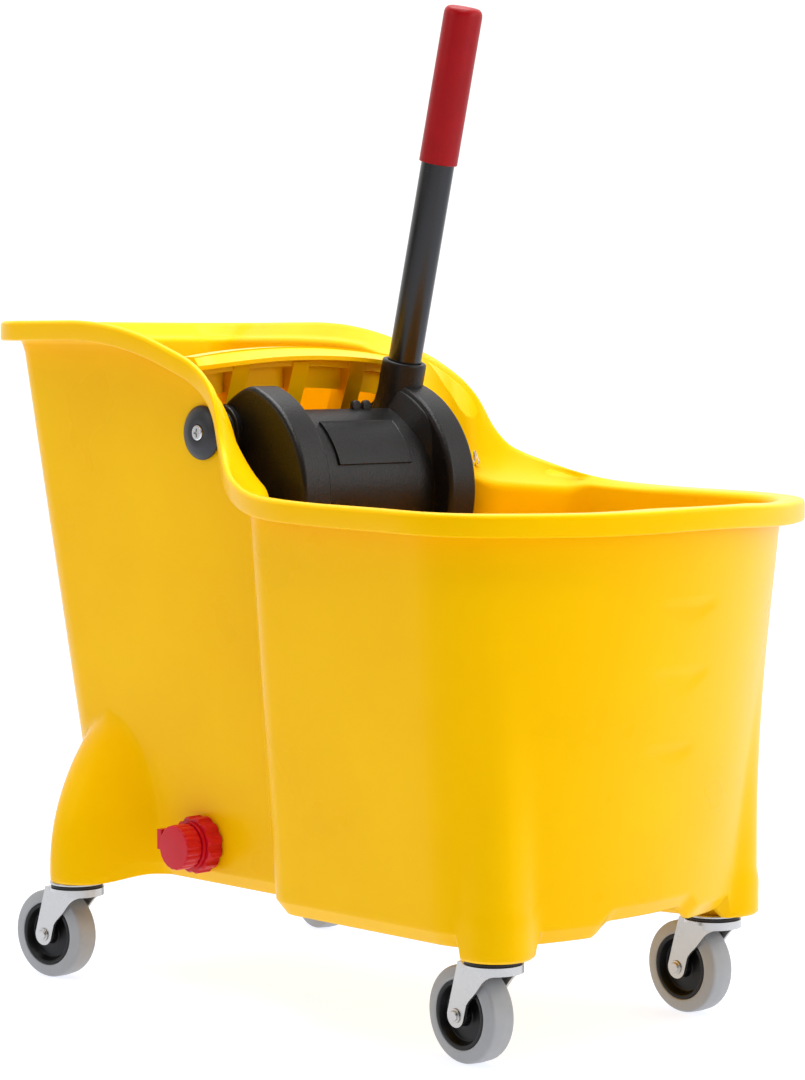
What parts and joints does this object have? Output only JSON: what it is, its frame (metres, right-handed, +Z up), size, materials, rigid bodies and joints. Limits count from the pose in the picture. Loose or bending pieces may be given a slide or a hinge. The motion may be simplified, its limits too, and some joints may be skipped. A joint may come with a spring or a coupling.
{
  "type": "mop bucket with wringer",
  "caption": "Wheeled moulded mop bucket, high narrow rear and low wide front, with a lever press wringer, slotted grate, screw drain and swivel casters.",
  "frame": {"origin": "centre of the bounding box on the floor under the wheels", "axes": "+X towards the low front end, +Y towards the side with the press handle, +Z up"},
  "size_m": [0.611, 0.352, 0.692],
  "materials": {
    "yellow_polyethylene": "satin moulded",
    "black_moulded_plastic": "fine grained",
    "black_powder_coat": "satin powder coat over steel",
    "red_vinyl": "dipped satin",
    "red_plastic": "moulded",
    "black_rubber": "matte",
    "bright_steel": "bright",
    "zinc_plated_steel": "zinc plated",
    "black_hub_plastic": "semi gloss",
    "grey_rubber": "matte non-marking"
  },
  "bodies": {
    "bucket": {"bucket_body": "yellow_polyethylene", "wringer_grate": "yellow_polyethylene", "stop_clip": "bright_steel", "drain_spout": "red_plastic", "drain_gasket": "black_rubber", "drain_nut": "red_plastic", "drain_strap": "red_plastic", "caster_front_near_stem": "zinc_plated_steel", "caster_front_near_race": "zinc_plated_steel", "caster_front_far_stem": "zinc_plated_steel", "caster_front_far_race": "zinc_plated_steel", "caster_rear_near_stem": "zinc_plated_steel", "caster_rear_near_race": "zinc_plated_steel", "caster_rear_far_stem": "zinc_plated_steel", "caster_rear_far_race": "zinc_plated_steel"},
    "press": {"press_body": "black_moulded_plastic", "handle_tube": "black_powder_coat", "handle_grip": "red_vinyl", "pivot_cap_near": "black_moulded_plastic", "pivot_cap_far": "black_moulded_plastic", "pivot_screw_near": "bright_steel", "pivot_screw_far": "bright_steel"},
    "drain_seal": {"drain_cap_seal": "black_rubber"},
    "drain_cap": {"drain_cap": "red_plastic"},
    "front_near_swivel": {"caster_front_near_fork": "zinc_plated_steel", "caster_front_near_axle": "zinc_plated_steel", "caster_front_near_seal": "black_rubber", "caster_front_near_balls": "bright_steel"},
    "front_near_wheel": {"caster_front_near_hub": "black_hub_plastic", "caster_front_near_tread": "grey_rubber"},
    "front_far_swivel": {"caster_front_far_fork": "zinc_plated_steel", "caster_front_far_axle": "zinc_plated_steel", "caster_front_far_seal": "black_rubber", "caster_front_far_balls": "bright_steel"},
    "front_far_wheel": {"caster_front_far_hub": "black_hub_plastic", "caster_front_far_tread": "grey_rubber"},
    "rear_near_swivel": {"caster_rear_near_fork": "zinc_plated_steel", "caster_rear_near_axle": "zinc_plated_steel", "caster_rear_near_seal": "black_rubber", "caster_rear_near_balls": "bright_steel"},
    "rear_near_wheel": {"caster_rear_near_hub": "black_hub_plastic", "caster_rear_near_tread": "grey_rubber"},
    "rear_far_swivel": {"caster_rear_far_fork": "zinc_plated_steel", "caster_rear_far_axle": "zinc_plated_steel", "caster_rear_far_seal": "black_rubber", "caster_rear_far_balls": "bright_steel"},
    "rear_far_wheel": {"caster_rear_far_hub": "black_hub_plastic", "caster_rear_far_tread": "grey_rubber"}
  },
  "joints": [
    {"name": "press_pivot", "type": "hinge", "parent": "bucket", "child": "press", "pos_m": [-0.0705, 0, 0.393], "axis": [0, 1, 0], "range_deg": [0, 35]},
    {"name": "drain_cap_out", "type": "slide", "parent": "bucket", "child": "drain_seal", "axis": [0, -1, 0], "range_m": [0, 0.0135]},
    {"name": "drain_cap_turn", "type": "hinge", "parent": "drain_seal", "child": "drain_cap", "pos_m": [-0.0775, -0.118, 0.107], "axis": [0, -1, 0], "range_deg": [0, 720]},
    {"name": "front_near_swivel_turn", "type": "hinge", "parent": "bucket", "child": "front_near_swivel", "pos_m": [0.211, -0.1065, 0.068], "axis": [0, 0, 1], "continuous": true},
    {"name": "front_near_wheel_roll", "type": "hinge", "parent": "front_near_swivel", "child": "front_near_wheel", "pos_m": [0.19045, -0.10506, 0.03175], "axis": [0.0698, 0.9976, 0], "continuous": true},
    {"name": "front_far_swivel_turn", "type": "hinge", "parent": "bucket", "child": "front_far_swivel", "pos_m": [0.211, 0.1065, 0.068], "axis": [0, 0, 1], "continuous": true},
    {"name": "front_far_wheel_roll", "type": "hinge", "parent": "front_far_swivel", "child": "front_far_wheel", "pos_m": [0.19044, 0.10776, 0.03175], "axis": [0.061, 0.9981, 0], "continuous": true},
    {"name": "rear_near_swivel_turn", "type": "hinge", "parent": "bucket", "child": "rear_near_swivel", "pos_m": [-0.183, -0.127, 0.068], "axis": [0, 0, 1], "continuous": true},
    {"name": "rear_near_wheel_roll", "type": "hinge", "parent": "rear_near_swivel", "child": "rear_near_wheel", "pos_m": [-0.20337, -0.13004, 0.03175], "axis": [-0.1478, 0.989, 0], "continuous": true},
    {"name": "rear_far_swivel_turn", "type": "hinge", "parent": "bucket", "child": "rear_far_swivel", "pos_m": [-0.183, 0.127, 0.068], "axis": [0, 0, 1], "continuous": true},
    {"name": "rear_far_wheel_roll", "type": "hinge", "parent": "rear_far_swivel", "child": "rear_far_wheel", "pos_m": [-0.20329, 0.13058, 0.03175], "axis": [0.1736, 0.9848, 0], "continuous": true}
  ],
  "couplings": [
    {"joint": "drain_cap_out", "follows": "drain_cap_turn", "m_per_rad": 0.0010743}
  ]
}
